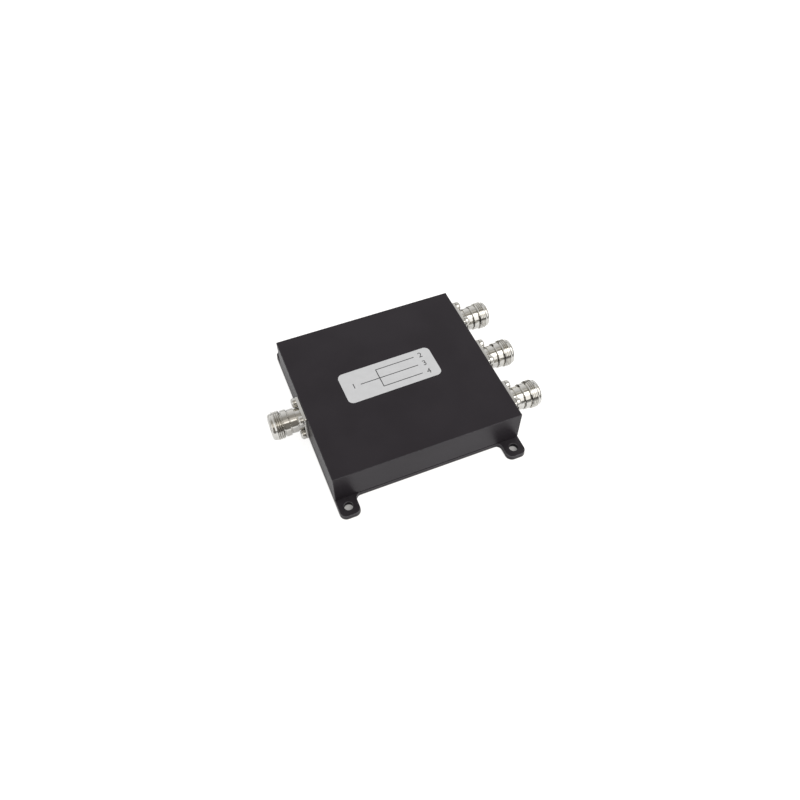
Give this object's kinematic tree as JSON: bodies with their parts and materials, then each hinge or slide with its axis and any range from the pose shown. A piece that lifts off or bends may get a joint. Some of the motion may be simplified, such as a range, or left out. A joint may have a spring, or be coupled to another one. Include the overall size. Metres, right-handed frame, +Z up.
{
  "type": "rf power splitter",
  "caption": "Flat black milled case on an eared base plate, with threaded coaxial jacks on two opposite walls, that splits one radio signal into equal outputs.",
  "frame": {"origin": "middle of the base plate's underside", "axes": "+X from the input jack to the output jacks, +Y across the row of outputs, +Z up from the base plate to the label"},
  "size_m": [0.1452, 0.1212, 0.0234],
  "materials": {
    "case_black": "satin black with fine grain",
    "cover_screw_steel": "dark plated",
    "label_film": "satin pale grey film",
    "board_laminate": "pale woven laminate",
    "copper": "bare rolled copper",
    "resistor_black": "matt black with tinned ends",
    "screw_nickel": "bright nickel plate",
    "jack_nickel": "bright nickel plate over turned brass",
    "insulator_white": "waxy white",
    "contact_gold": "gold plated"
  },
  "bodies": {
    "root": {"housing": "case_black", "base_plate": "case_black", "base_screws": "cover_screw_steel", "label": "label_film", "splitter_board": "board_laminate", "ground_foil": "copper", "copper_trace": "copper", "isolation_resistors": "resistor_black", "board_screws": "screw_nickel", "input_shell": "jack_nickel", "input_insulator": "insulator_white", "input_contact": "contact_gold", "input_flange_screws": "screw_nickel", "output_1_shell": "jack_nickel", "output_1_insulator": "insulator_white", "output_1_contact": "contact_gold", "output_1_flange_screws": "screw_nickel", "output_2_shell": "jack_nickel", "output_2_insulator": "insulator_white", "output_2_contact": "contact_gold", "output_2_flange_screws": "screw_nickel", "output_3_shell": "jack_nickel", "output_3_insulator": "insulator_white", "output_3_contact": "contact_gold", "output_3_flange_screws": "screw_nickel"}
  },
  "joints": []
}
